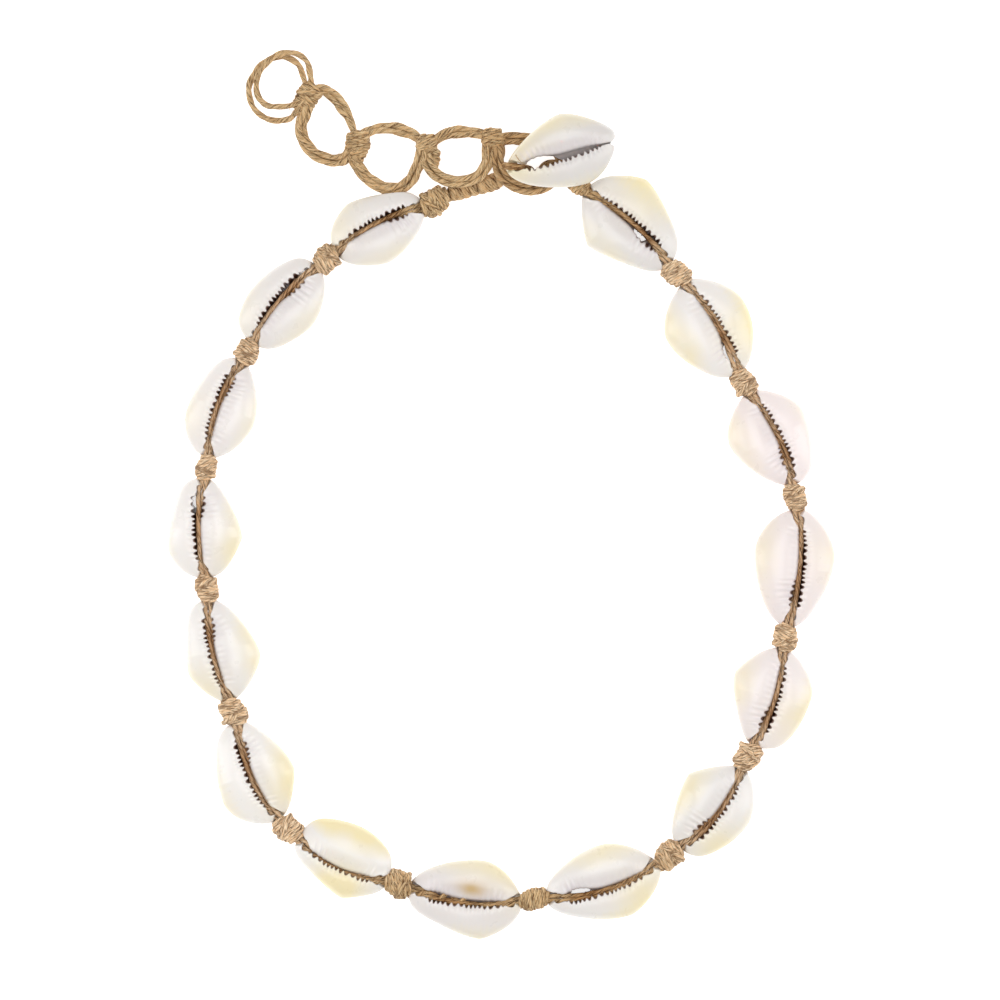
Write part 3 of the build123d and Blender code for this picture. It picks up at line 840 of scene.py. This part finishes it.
def add_bundle(strands, line, cords, radius, swing, rng, flat=0.55, shade=0.0):
    """Cords side by side along a line, turning a little about each other."""
    _, across, over = directions(line)
    share = np.linspace(0, 1, len(line))
    wander = 0.35 * np.sin(share * rng.uniform(5, 9) + rng.uniform(0, 6))
    reach = {1: 0.0, 2: 1.0, 3: 1.22}[cords] * radius * BESIDE
    for number in range(cords):
        angle = 2 * pi * number / cords + swing * 2 * pi * (share - 0.5) + wander
        moved = line + reach * (np.cos(angle)[:, None] * across + flat * np.sin(angle)[:, None] * over)
        add_strand(strands, even(moved), radius, rng, shade=shade)


def fibre(strands, start, way, rng, radius=0.045):
    """One slack fibre that stands off the cord."""
    start, way = np.array(start, dtype=float), np.array(way, dtype=float)
    bend = np.cross(way, UP) * rng.uniform(-0.35, 0.35)
    share = np.linspace(0, 1, 7)
    line = start + way * share[:, None] + bend * (share * (1 - share) * 2)[:, None]
    add_strand(strands, line, radius * (1.25 - share), rng, sides=4, groove=0.0)


def fuzz(strands, line, radius, rng, per_mm=0.12):
    """Short fibres along a cord."""
    ahead, across, over = directions(line)
    count = int(len(line) * CORD_STEP * per_mm)
    for spot in rng.integers(2, len(line) - 2, count):
        angle = rng.uniform(-0.3, pi + 0.3)
        out = across[spot] * cos(angle) + over[spot] * abs(sin(angle))
        way = out * rng.uniform(0.5, 1.1) + ahead[spot] * rng.uniform(-1.0, 1.0)
        fibre(strands, line[spot] + out * radius * 0.9, way, rng, radius=0.03)


def wound_line(length, width, turns, slant, radius, rng, start=0.0):
    """A cord wound into a barrel round the X axis, its two ends tucked in."""
    share = np.linspace(-1, 1, int(turns * 40) + 1)
    angle = pi * turns * share + start
    barrel = (width / 2 - radius) * (1 - 0.22 * np.abs(share) ** 2.6)
    barrel = barrel * (1 + 0.04 * np.sin(angle * 0.73 + rng.uniform(0, 6)))
    tuck = smooth(1 - np.abs(share), 0.0, 0.6 / turns)
    barrel = barrel * blend(0.3, 1.0, tuck)
    tilt = np.tan(radians(slant)) * width / 2
    half = length / 2 - radius
    x = half * share * blend(0.7, 1.0, tuck) + tilt * np.cos(angle) * (1 - 0.4 * np.abs(share) ** 2)
    x = half * np.tanh(1.25 * x / half)
    return np.column_stack([x, barrel * np.cos(angle), barrel * np.sin(angle)])


def turned_line(line, middle, direction):
    """A line wound round the X axis, turned into a direction and moved to its place, with the way
    outwards at each point."""
    ahead = np.array((*unit(direction), 0.0))
    outwards = line[:, 1:2] * np.cross(UP, ahead) + line[:, 2:] * UP
    return np.column_stack([middle + line[:, :1] * ahead + outwards, unit(outwards)])


def add_knot(strands, middle, direction, length, width, knot, rng):
    """A knot: a slanted winding, a band at each end, and in most a band that crosses it."""
    radius = cord_settings().knot_radius / MM

    def wind(length, width, turns, slant, shift):
        line = wound_line(length, width, turns, slant, radius, rng, rng.uniform(-0.5, 0.5))
        line[:, 0] += shift
        line = even(turned_line(line, middle, direction), WOUND_STEP)
        add_strand(strands, line, radius, rng, flat=WOUND_FLAT)

    wind(1.14 * length, width, knot.turns + 1, knot.slant, 0)
    for end in (-1, 1):
        wind(4.2 * radius, 0.74 * width, 2.2, 0.6 * knot.slant, end * 0.49 * length)
    if knot.cross:
        wind(0.55 * length, 1.05 * width, 2.6, -1.1 * knot.slant, knot.cross * 0.2 * length)


class NECKLACE_OT_string(bpy.types.Operator):
    """Make the string: two cords side by side through all shells and knots"""

    bl_idname = "necklace.string"
    bl_label = "String"

    def execute(self, context):
        rng = np.random.default_rng(7)
        radius = cord_settings().radius / MM
        knots, spots = string_spots()
        points = list(STEM_ROUTE)
        for knot, row, spot in zip(knots, SHELLS, spots):
            points.append((*knot[:2], STRING_HEIGHT))
            for along, z in STRING_RISE:
                out = slit_middle(along, spot.shifts) + 0.4 * row.hug * (1 - along ** 2)
                plan = spot.middle + spot.ahead * along * spot.length / 2 + spot.across * out
                points.append((*plan, z))
        points.append((*knots[-1][:2], STRING_HEIGHT))
        line = smooth_route(points)
        plan, steps = line[:, :2], np.arange(len(line))
        _, across, over = directions(line)
        near = np.linalg.norm(plan[:, None] - np.array(knots)[:, :2], axis=2).min(axis=1)
        inside = smooth(near, 5.5, 8.5)

        # Painted shade: the cord darkens inside the shells, most a little before the middle of the
        # shell that it lies in
        beside = np.array([np.linalg.norm(plan - spot.middle, axis=1) for spot in spots])
        shares = np.array([(plan - spot.middle) @ spot.ahead / (spot.length / 2) for spot in spots])
        along = shares[beside.argmin(axis=0), steps]
        deep = inside * (0.5 + 0.5 * hump(along, -0.3, 0.45))
        angle = 0.3 * np.sin(steps * 0.061 + 1.0) + 0.3 * np.sin(steps * 0.023) + 0.95 * inside
        strands = Strands()
        for way in (-1, 1):
            reach = way * radius * BESIDE
            moved = line + (reach * np.cos(angle))[:, None] * across
            moved = moved + (reach * np.sin(angle))[:, None] * over
            moved = even(np.column_stack([moved, deep]))
            add_strand(strands, moved[:, :3], radius, rng, shade=moved[:, 3])

        spot = spots[BRAIDED - 1]
        share = np.linspace(-0.5, 0.0, 40)
        weave = 2 * pi * share / 0.2
        out = 1.9 * share + 0.4 * share ** 2 - 0.2 + 0.75 * np.sin(weave)
        plan = spot.middle + share[:, None] * spot.length * spot.ahead + out[:, None] * spot.across
        braid = np.column_stack([plan, 4.6 + 1.6 * share + 0.5 * np.cos(weave)])
        add_strand(strands, even(braid), 0.9 * radius, rng, shade=0.3)
        make_cords(strands, "string", "string_cord")
        return {"FINISHED"}


class NECKLACE_OT_knots(bpy.types.Operator):
    """Make the sixteen knots that keep the shells apart"""

    bl_idname = "necklace.knots"
    bl_label = "Knots"

    def execute(self, context):
        knots, spots = string_spots()
        for number, (knot, middle) in enumerate(zip(KNOTS, knots), start=1):
            rng = np.random.default_rng(100 + number)
            name = "knot_%02d" % number
            ahead = unit(sum(spot.ahead for spot in spots[max(number - 2, 0):number]))
            low, high = along_string(name, ahead)
            left, right = along_string(name, (-ahead[1], ahead[0]))
            strands = Strands()
            add_knot(strands, middle, ahead, high - low, right - left, knot, rng)
            make_cords(strands, "tied_" + name, name)
        return {"FINISHED"}


class NECKLACE_OT_stem(bpy.types.Operator):
    """Make the wrapped stem beside the first knot"""

    bl_idname = "necklace.stem"
    bl_label = "Wrapped stem"

    def execute(self, context):
        rng = np.random.default_rng(31)
        run = np.array(STEM.finish) - STEM.start
        middle = np.array((*(np.array(STEM.start) + STEM.finish) / 2, node_middle("wrapped_stem")[2]))
        line = wound_line(np.linalg.norm(run), STEM.width, STEM.turns, STEM.slant, STEM.radius, rng)
        line[:, 1:] *= (1.0 - STEM.taper * np.linspace(-1, 1, len(line)))[:, None]
        wraps = even(turned_line(line, middle, -run), WOUND_STEP)
        strands = Strands()
        add_strand(
            strands, wraps, STEM.radius, rng, groove=STEM.groove, shade=STEM.shade, flat=STEM.flat)
        make_cords(strands, "stem_wrapping", "wrapped_stem")
        return {"FINISHED"}


class NECKLACE_OT_extender(bpy.types.Operator):
    """Make the loops and knots of the extender, and the loop that holds the toggle"""

    bl_idname = "necklace.extender"
    bl_label = "Extender"

    def execute(self, context):
        setting = cord_settings()
        for number, side in enumerate(LOOP_SIDES):
            rng = np.random.default_rng(200 + number)
            strands = Strands()
            line = smooth_route(side.points)
            radius = (setting.end_radius if side.cords == 1 else setting.loop_radius) / MM
            if side.cords == 3:
                radius *= 0.95
            add_bundle(strands, line, side.cords, radius, side.swing, rng, shade=side.shade)
            fuzz(strands, line, radius * (1 if side.cords == 1 else 1.8), rng)
            make_cords(strands, "cords_of_" + side.name, side.name)
        for number, tied in enumerate(EXTENDER_KNOTS, start=1):
            rng = np.random.default_rng(300 + number)
            name = "extender_knot_%d" % number
            strands = Strands()
            for row in (tied, BULGE) if number == 3 else (tied,):
                middle = np.array((row.x, row.y, EXTENDER_KNOT_HEIGHT))
                add_knot(strands, middle, heading(row.turn), row.length, row.width, row, rng)
            make_cords(strands, "tied_" + name, name)
        return {"FINISHED"}


class NECKLACE_OT_tie(bpy.types.Operator):
    """Make the cord that ties the toggle shell to the string"""

    bl_idname = "necklace.tie"
    bl_label = "Tie"

    def execute(self, context):
        rng = np.random.default_rng(51)
        strands = Strands()
        line = smooth_route(TIE_ROUTE)
        add_bundle(strands, line, cords=2, radius=0.5, swing=0.5, rng=rng, shade=0.7)
        make_cords(strands, "tie", "toggle_tie")
        return {"FINISHED"}


# Materials

def node(tree, kind, inputs=None, **settings):
    """A new node with its settings, its inputs set or linked."""
    made = tree.nodes.new("ShaderNode" + kind)
    for name, value in settings.items():
        setattr(made, name, value)
    for name, value in (inputs or {}).items():
        if isinstance(value, bpy.types.NodeSocket):
            tree.links.new(value, made.inputs[name])
        else:
            made.inputs[name].default_value = value
    return made


def fact(tree, name):
    return node(tree, "Attribute", attribute_name=name).outputs["Fac"]


def maths(tree, operation, first, second=0.0, clamp=False):
    return node(tree, "Math", {0: first, 1: second}, operation=operation, use_clamp=clamp).outputs[0]


def times(tree, first, second, clamp=False):
    return maths(tree, "MULTIPLY", first, second, clamp)


def spread(tree, value, low, high, to_low=0.0, to_high=1.0):
    """The value moved from one range to another."""
    return node(tree, "MapRange", {"Value": value, "From Min": low, "From Max": high,
                                   "To Min": to_low, "To Max": to_high}).outputs[0]


def mixed(tree, share, first, second, kind="MIX"):
    """Two colours mixed by a share. Inputs 6 and 7 and output 2 are the node's colours."""
    inputs = {0: share, 6: first, 7: second}
    return node(tree, "Mix", inputs, data_type="RGBA", blend_type=kind).outputs[2]


def noise(tree, place, scale, detail=3.0, rough=0.5):
    inputs = {"Vector": place, "Scale": scale, "Detail": detail, "Roughness": rough}
    return node(tree, "TexNoise", inputs).outputs[0]


def rgba(colour):
    return (*colour, 1.0)


def new_material(name, constants):
    """A material of one shader with its constants, with its tree and the shader."""
    material = bpy.data.materials.new(name)
    material.use_nodes = True
    tree = material.node_tree
    tree.nodes.clear()
    shader = tree.nodes.new("ShaderNodeBsdfPrincipled")
    output = tree.nodes.new("ShaderNodeOutputMaterial")
    tree.links.new(shader.outputs[0], output.inputs["Surface"])
    for socket, value in constants.items():
        shader.inputs[socket].default_value = value
    return material, tree, shader


def finish_surface(tree, shader, colour, rough, relief, strength, distance):
    """Links the colour, the roughness and the bumps of a material to its shader."""
    inputs = {"Height": relief, "Strength": strength, "Distance": distance}
    bump = node(tree, "Bump", inputs).outputs[0]
    for socket, value in (("Base Color", colour), ("Roughness", rough), ("Normal", bump)):
        tree.links.new(value, shader.inputs[socket])


def porcelain(name, row, seed):
    """Polished cowrie: white, cream at its edges and in patches, painted lavender shade beside the
    slit and along its ribs, and painted dark shade inside and in the notches.
    """
    setting = shell_settings()
    material, tree, shader = new_material("porcelain_" + name, {
        "Coat Weight": 0.2, "Coat Roughness": 0.08, "Subsurface Weight": 0.12,
        "Subsurface Radius": (1.0, 0.75, 0.55), "Subsurface Scale": 1.2 * MM})
    start = tuple(np.random.default_rng(seed + 900).uniform(-1, 1, 3))
    place = node(tree, "TexCoord").outputs["Object"]
    moved = node(tree, "Mapping", {"Vector": place, "Location": start}).outputs[0]
    edge, fold, warm = fact(tree, "edge"), fact(tree, "fold"), fact(tree, "warm")
    inside, notch, stain = fact(tree, "inside"), fact(tree, "notch"), fact(tree, "stain")
    clouds = noise(tree, moved, 110.0, 2.0)
    fine = noise(tree, moved, 420.0, 4.0)
    rim, patchy = spread(tree, edge, 0.5, 1.0), spread(tree, clouds, 0.3, 0.6, 0.4, 1.0)
    rim = times(tree, times(tree, rim, patchy, clamp=True), 0.3 + 0.4 * row.cream)
    patch = times(tree, warm, spread(tree, clouds, 0.3, 0.6, 0.65, 1.0), clamp=True)
    patch = times(tree, patch, 0.85 * row.cream)
    cream = maths(tree, "ADD", rim, patch, clamp=True)
    base = row.tone * blend(np.array(setting.white), np.array(setting.blush), row.blush)
    colour = mixed(tree, cream, rgba(base), rgba(setting.cream))
    # Painted shade: lavender beside the slit and along the ribs of the inner lip
    slit_shade = times(tree, fold, spread(tree, fine, 0.3, 0.7, 0.5, 1.0))
    colour = mixed(tree, times(tree, slit_shade, row.lavender), colour, rgba(setting.lavender))
    colour = mixed(tree, times(tree, fact(tree, "rib"), 0.55), colour, rgba(setting.lavender))
    if row.stain:
        stained = times(tree, stain, spread(tree, clouds, 0.35, 0.6, 0.2, row.stain))
        colour = mixed(tree, stained, colour, rgba(setting.stain))
    # Painted shade: the hollow and the lips rolled under darken to the inside colour, as far as the
    # row's dark says
    colour = mixed(tree, times(tree, inside, row.dark), colour, rgba(setting.inside))
    # Painted shade in the notches between the teeth
    colour = mixed(tree, spread(tree, notch, 0.2, 0.6, 0.0, 0.9), colour, rgba(setting.inside))
    rough = spread(tree, fine, 0.3, 0.7, 0.26, 0.36)
    finish_surface(tree, shader, colour, rough, noise(tree, moved, 260.0, 3.0), 0.12, 0.4 * MM)
    return material


def hemp():
    """Waxed hemp: tan fibres along the cord with dark flecks between, a little sheen, and painted
    shade in the groove between the plies, in the creases between cords and inside the shells. Towards
    the clasp and towards the far side of the necklace it is a little more ochre."""
    made = bpy.data.materials.get("waxed_hemp")
    if made:
        return made
    setting = cord_settings()
    material, tree, shader = new_material("waxed_hemp", {"Specular IOR Level": 0.12})
    around = {"X": fact(tree, "round_x"), "Y": fact(tree, "round_y"), "Z": fact(tree, "run")}
    around = node(tree, "CombineXYZ", around).outputs[0]
    long = node(tree, "Mapping", {"Vector": around, "Scale": (1.0, 1.0, 0.11)}).outputs[0]
    coarse = noise(tree, long, 3.6, 3.0, 0.55)
    hairs = noise(tree, long, 11.0, 4.0, 0.6)
    place = node(tree, "TexCoord").outputs["Object"]
    tone = noise(tree, place, 70.0, 2.0)
    colour = mixed(tree, spread(tree, hairs, 0.42, 0.58), rgba(setting.middle), rgba(setting.light))
    fleck = times(tree, spread(tree, coarse, 0.52, 0.43), spread(tree, hairs, 0.60, 0.46), clamp=True)
    # Painted shade in the groove between the two plies
    deep = times(tree, spread(tree, fact(tree, "valley"), 0.4, 0.95), 0.6)
    # Painted shade in the creases where cords touch
    crease = times(tree, spread(tree, fact(tree, "crease"), 0.35, 1.0), 0.75, clamp=True)
    dark = maths(tree, "MAXIMUM", maths(tree, "MAXIMUM", fleck, deep), crease)
    colour = mixed(tree, dark, colour, rgba(setting.dark))
    patchy = spread(tree, tone, 0.35, 0.65, 0.0, 0.2)
    colour = mixed(tree, patchy, colour, rgba(setting.patches), "MULTIPLY")
    height = node(tree, "SeparateXYZ", {"Vector": place}).outputs["Y"]
    off = maths(tree, "ABSOLUTE", maths(tree, "ADD", height, -OCHRE_MIDDLE * MM))
    ochre = spread(tree, off, OCHRE_FROM * MM, OCHRE_TO * MM)
    colour = mixed(tree, ochre, colour, rgba(setting.ochre), "MULTIPLY")
    # Painted shade of the cords inside the shells, under the toggle, on the stem and on the tie
    shaded = times(tree, fact(tree, "shade"), spread(tree, coarse, 0.35, 0.6, 1.0, 0.65))
    colour = mixed(tree, shaded, colour, rgba(setting.shaded), "MULTIPLY")
    rough = spread(tree, hairs, 0.3, 0.7, 0.62, 0.46)
    relief = maths(tree, "ADD", times(tree, coarse, 0.6), times(tree, hairs, 0.4))
    finish_surface(tree, shader, colour, rough, relief, 1.0, 0.35 * MM)
    return material


def paper_white():
    """The pale floor: white, with a little light of its own so that it stays even."""
    material, tree, shader = new_material("pale_floor", {
        "Roughness": 0.9, "Emission Color": (1.0, 1.0, 1.0, 1.0), "Emission Strength": 0.7})
    grain = noise(tree, node(tree, "TexCoord").outputs["Object"], 40.0, 3.0)
    colour = mixed(tree, grain, (0.90, 0.90, 0.90, 1.0), (0.93, 0.93, 0.93, 1.0))
    tree.links.new(colour, shader.inputs["Base Color"])
    return material


class NECKLACE_OT_stage(bpy.types.Operator):
    """Set the pale floor, the soft lamps and the camera over the necklace"""

    bl_idname = "necklace.stage"
    bl_label = "Stage"

    def execute(self, context):
        setting = stage_settings()
        scene = context.scene
        work = bmesh.new()
        bmesh.ops.create_grid(work, x_segments=1, y_segments=1, size=FLOOR_HALF)
        bmesh.ops.translate(work, verts=work.verts, vec=(0, 0, -FLOOR_DROP * MM))
        mesh = bpy.data.meshes.new("floor")
        work.to_mesh(mesh)
        work.free()
        mesh.materials.append(paper_white())
        floor = bpy.data.objects.new("floor", mesh)
        scene.collection.objects.link(floor)

        lamps = (
            ("softbox_left", (-0.75, 0.0, 0.55), (0.35, 0.9), setting.softbox),
            ("softbox_right", (0.75, 0.0, 0.55), (0.35, 0.9), setting.softbox),
            ("top_lamp", (0.0, 0.1, 1.9), (1.2, 1.2), setting.top_light),
        )
        for name, place, size, power in lamps:
            data = bpy.data.lights.new(name, "AREA")
            data.shape = "RECTANGLE"
            data.size, data.size_y = size
            data.energy = power
            lamp = bpy.data.objects.new(name, data)
            lamp.location = place
            lamp.rotation_euler = (Vector() - Vector(place)).to_track_quat("-Z", "Y").to_euler()
            scene.collection.objects.link(lamp)

        world = bpy.data.worlds.new("pale_room")
        scene.world = world
        world.use_nodes = True
        shade = world.node_tree.nodes["Background"]
        shade.inputs["Color"].default_value = (1.0, 0.99, 0.98, 1.0)
        shade.inputs["Strength"].default_value = setting.sky
        scene.view_settings.view_transform = "Standard"

        data = bpy.data.cameras.new("camera")
        data.sensor_width = 36.0
        distance = setting.camera_height - FRAMED_HEIGHT * MM
        data.lens = data.sensor_width * distance / setting.view_width
        data.clip_start, data.clip_end = 0.05, 10.0
        camera = bpy.data.objects.new("camera", data)
        camera.location = (CAMERA_SPOT[0] * MM, CAMERA_SPOT[1] * MM, setting.camera_height)
        scene.collection.objects.link(camera)
        scene.camera = camera
        return {"FINISHED"}


class NECKLACE_PT_panel(bpy.types.Panel):
    """Lists the pieces of the necklace"""

    bl_label = "Cowrie Shell Necklace"
    bl_idname = "NECKLACE_PT_panel"
    bl_space_type = "VIEW_3D"
    bl_region_type = "UI"
    bl_category = "Necklace"

    def draw(self, context):
        for group in (shell_settings(), cord_settings(), stage_settings()):
            box = self.layout.box()
            for name in group.__annotations__:
                box.prop(group, name)
        for operator in OPERATORS:
            self.layout.operator(operator.bl_idname)


OPERATORS = (
    NECKLACE_OT_stage, NECKLACE_OT_shells, NECKLACE_OT_toggle_shell, NECKLACE_OT_string,
    NECKLACE_OT_knots, NECKLACE_OT_stem, NECKLACE_OT_extender, NECKLACE_OT_tie,
)
SETTINGS = (
    ("necklace_shells", ShellSettings),
    ("necklace_cords", CordSettings),
    ("necklace_stage", StageSettings),
)


def register():
    for name, group in SETTINGS:
        bpy.utils.register_class(group)
        setattr(bpy.types.Scene, name, PointerProperty(type=group))
    for kind in (*OPERATORS, NECKLACE_PT_panel):
        bpy.utils.register_class(kind)


def unregister():
    for kind in (NECKLACE_PT_panel, *reversed(OPERATORS)):
        bpy.utils.unregister_class(kind)
    for name, group in reversed(SETTINGS):
        delattr(bpy.types.Scene, name)
        bpy.utils.unregister_class(group)


def main():
    register()
    for operator in OPERATORS:
        group, action = operator.bl_idname.split(".")
        getattr(getattr(bpy.ops, group), action)()


if __name__ == "__main__":
    main()
